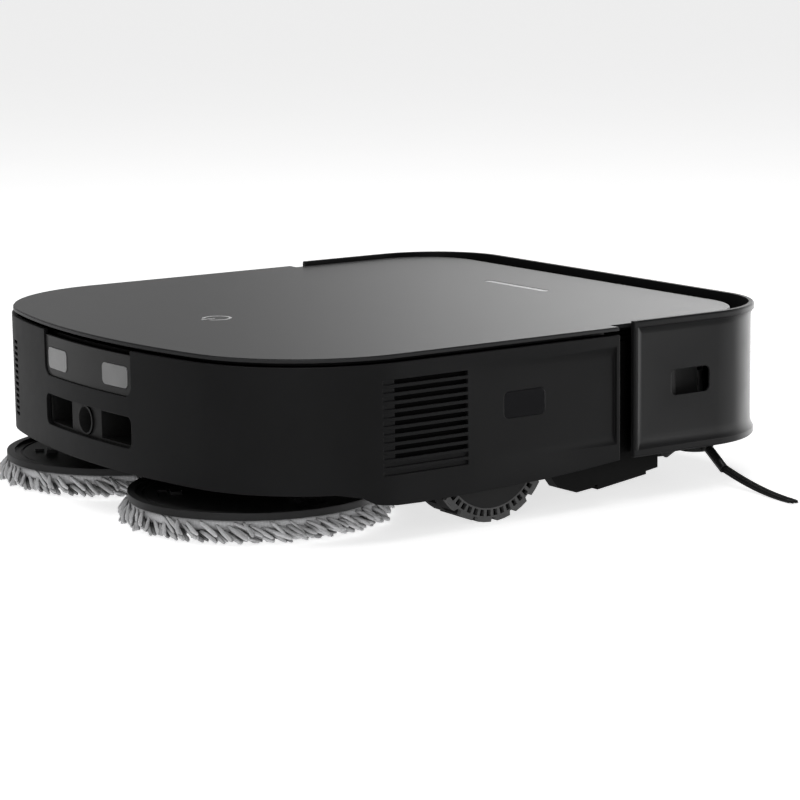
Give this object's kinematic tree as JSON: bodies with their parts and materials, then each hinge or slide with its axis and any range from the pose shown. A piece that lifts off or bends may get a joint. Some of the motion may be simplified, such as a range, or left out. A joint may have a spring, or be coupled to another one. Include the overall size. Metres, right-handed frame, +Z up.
{
  "type": "robotic floor cleaner",
  "caption": "Square-fronted robotic vacuum and mop with a sprung bumper, lift-off lid over a dust bin, sprung drive wheels, roller brush, side brush and spinning mop pads.",
  "frame": {"origin": "on the floor, under the centre of the body's plan outline (mops and side brush left out)", "axes": "+X forward towards the bumper, +Y to the machine's left, +Z up"},
  "size_m": [0.3513, 0.3728, 0.095],
  "materials": {
    "shell_plastic": "fine satin black",
    "pan_plastic": "moulded matt black",
    "deck_plastic": "matt dark grey",
    "bumper_plastic": "semi-gloss black",
    "lid_plastic": "satin anthracite",
    "panel_plastic": "semi-gloss dark grey",
    "contact_metal": "satin nickel",
    "port_plastic": "matt black",
    "seal_rubber": "soft rubber",
    "sensor_window": "polished infrared-pass black",
    "mesh_black": "woven mesh",
    "battery_wrap": "shrink wrap",
    "board_laminate": "solder mask",
    "duct_plastic": "moulded dark grey",
    "motor_metal": "zinc plated",
    "fan_plastic": "light grey",
    "tank_plastic": "clear smoked",
    "fitting_plastic": "mid grey",
    "hose_silicone": "translucent",
    "steel": "bright",
    "silver_trim": "satin silver",
    "icon_print": "light grey",
    "bin_plastic": "smoky black",
    "handle_plastic": "mid grey",
    "filter_paper": "pleated paper",
    "switch_plastic": "red",
    "button_plastic": "grey",
    "drive_plastic": "glass-filled black",
    "hub_plastic": "satin black",
    "tyre_rubber": "grey rubber",
    "caster_plastic": "dark grey",
    "roller_rubber": "soft rubber blades",
    "brush_plastic": "black",
    "bristle_nylon": "black nylon bundle",
    "mop_plastic": "charcoal",
    "mop_microfibre": "light grey chenille"
  },
  "bodies": {
    "chassis": {"base_pan": "pan_plastic", "side_shell": "shell_plastic", "deck": "deck_plastic", "contact_panel": "panel_plastic", "charging_contacts": "contact_metal", "port_block": "port_plastic", "water_inlet_seal": "seal_rubber", "edge_sensor_windows": "sensor_window", "cliff_sensor_windows": "sensor_window", "grille_mesh": "mesh_black", "battery_pack": "battery_wrap", "circuit_board": "board_laminate", "fan_housing": "duct_plastic", "suction_duct": "duct_plastic", "inlet_duct": "duct_plastic", "brush_motor": "motor_metal", "side_brush_motor": "motor_metal", "water_tank": "tank_plastic", "water_pump": "fitting_plastic", "water_hoses": "hose_silicone", "speaker": "port_plastic", "lidar_modules": "drive_plastic", "camera_module": "sensor_window", "bumper_switches": "fitting_plastic", "chassis_screws": "steel", "lid_magnets": "steel", "bumper_springs": "steel", "suspension_spring_left": "steel", "suspension_spring_right": "steel"},
    "fan": {"fan_impeller": "fan_plastic"},
    "bumper": {"bumper_shell": "bumper_plastic", "bumper_window": "sensor_window"},
    "lid": {"lid_panel": "lid_plastic", "status_bar": "silver_trim", "touch_icon": "icon_print"},
    "bin": {"dust_bin": "bin_plastic", "bin_filter": "filter_paper"},
    "bin_handle": {"bin_handle": "handle_plastic"},
    "power_switch": {"power_switch": "switch_plastic"},
    "reset_button": {"reset_button": "button_plastic"},
    "mop_lift_left": {"mop_gearmotor_left": "motor_metal"},
    "mop_lift_right": {"mop_gearmotor_right": "motor_metal"},
    "mop_left": {"mop_plate_left": "mop_plastic", "mop_pad_left": "mop_microfibre"},
    "mop_right": {"mop_plate_right": "mop_plastic", "mop_pad_right": "mop_microfibre"},
    "drive_arm_left": {"drive_unit_left": "drive_plastic"},
    "drive_arm_right": {"drive_unit_right": "drive_plastic"},
    "wheel_left": {"wheel_hub_left": "hub_plastic", "tyre_left": "tyre_rubber"},
    "wheel_right": {"wheel_hub_right": "hub_plastic", "tyre_right": "tyre_rubber"},
    "caster": {"caster_fork": "caster_plastic"},
    "caster_wheel": {"caster_wheel": "caster_plastic"},
    "roller": {"roller_core": "brush_plastic", "roller_fins": "roller_rubber"},
    "brush_guard": {"brush_guard": "pan_plastic"},
    "side_brush": {"side_brush_hub": "brush_plastic", "side_brush_bristles": "bristle_nylon"}
  },
  "joints": [
    {"name": "bumper_press", "type": "slide", "parent": "chassis", "child": "bumper", "axis": [-1, 0, 0], "range_m": [0, 0.004], "stiffness_N_per_m": 400, "deforming": ["bumper_springs"]},
    {"name": "lid_lift_off", "type": "slide", "parent": "chassis", "child": "lid", "axis": [0, 0, 1], "range_m": [0, 0.12]},
    {"name": "bin_lift_out", "type": "slide", "parent": "chassis", "child": "bin", "axis": [0, 0, 1], "range_m": [0, 0.054]},
    {"name": "bin_handle_fold", "type": "hinge", "parent": "bin", "child": "bin_handle", "pos_m": [-0.044, 0, 0.0842], "axis": [0, 1, 0], "range_deg": [0, 84]},
    {"name": "power_switch_slide", "type": "slide", "parent": "chassis", "child": "power_switch", "axis": [1, 0, 0], "range_m": [0, 0.0065]},
    {"name": "reset_button_press", "type": "slide", "parent": "chassis", "child": "reset_button", "axis": [0, 0, -1], "range_m": [0, 0.001], "stiffness_N_per_m": 800},
    {"name": "suspension_left", "type": "hinge", "parent": "chassis", "child": "drive_arm_left", "pos_m": [0.019, 0.113, 0.048], "axis": [0, 1, 0], "range_deg": [-28, 4], "stiffness_Nm_per_rad": 1.7, "springref_deg": -28, "deforming": ["suspension_spring_left"]},
    {"name": "wheel_spin_left", "type": "hinge", "parent": "drive_arm_left", "child": "wheel_left", "pos_m": [-0.023, 0.1395, 0.035], "axis": [0, 1, 0], "continuous": true},
    {"name": "suspension_right", "type": "hinge", "parent": "chassis", "child": "drive_arm_right", "pos_m": [0.019, -0.113, 0.048], "axis": [0, 1, 0], "range_deg": [-28, 4], "stiffness_Nm_per_rad": 1.7, "springref_deg": -28, "deforming": ["suspension_spring_right"]},
    {"name": "wheel_spin_right", "type": "hinge", "parent": "drive_arm_right", "child": "wheel_right", "pos_m": [-0.023, -0.1395, 0.035], "axis": [0, 1, 0], "continuous": true},
    {"name": "caster_swivel", "type": "hinge", "parent": "chassis", "child": "caster", "pos_m": [0.138, 0, 0.02], "axis": [0, 0, 1], "continuous": true},
    {"name": "caster_roll", "type": "hinge", "parent": "caster", "child": "caster_wheel", "pos_m": [0.134, 0, 0.011], "axis": [0, 1, 0], "continuous": true},
    {"name": "roller_spin", "type": "hinge", "parent": "chassis", "child": "roller", "pos_m": [0.07, 0, 0.0205], "axis": [0, 1, 0], "continuous": true},
    {"name": "guard_release", "type": "slide", "parent": "chassis", "child": "brush_guard", "axis": [0, 0, -1], "range_m": [0, 0.03]},
    {"name": "side_brush_spin", "type": "hinge", "parent": "chassis", "child": "side_brush", "pos_m": [0.132, -0.126, 0.016], "axis": [0, 0, 1], "continuous": true, "deforming": ["side_brush_bristles"]},
    {"name": "mop_lift_left", "type": "slide", "parent": "chassis", "child": "mop_lift_left", "axis": [0, 0, 1], "range_m": [0, 0.008]},
    {"name": "mop_spin_left", "type": "hinge", "parent": "mop_lift_left", "child": "mop_left", "pos_m": [-0.1115, 0.0685, 0.02], "axis": [0, 0, 1], "continuous": true},
    {"name": "mop_lift_right", "type": "slide", "parent": "chassis", "child": "mop_lift_right", "axis": [0, 0, 1], "range_m": [0, 0.008]},
    {"name": "mop_spin_right", "type": "hinge", "parent": "mop_lift_right", "child": "mop_right", "pos_m": [-0.1115, -0.0685, 0.02], "axis": [0, 0, 1], "continuous": true},
    {"name": "fan_spin", "type": "hinge", "parent": "chassis", "child": "fan", "pos_m": [-0.09, -0.118, 0.05], "axis": [0, 0, 1], "continuous": true}
  ],
  "couplings": [
    {"joint": "bin_lift_out", "follows": "lid_lift_off", "ratio": 0.45},
    {"joint": "bin_handle_fold", "follows": "lid_lift_off", "rad_per_m": 12.2},
    {"joint": "mop_lift_right", "follows": "mop_lift_left", "ratio": 1},
    {"joint": "mop_spin_right", "follows": "mop_spin_left", "ratio": -1}
  ]
}
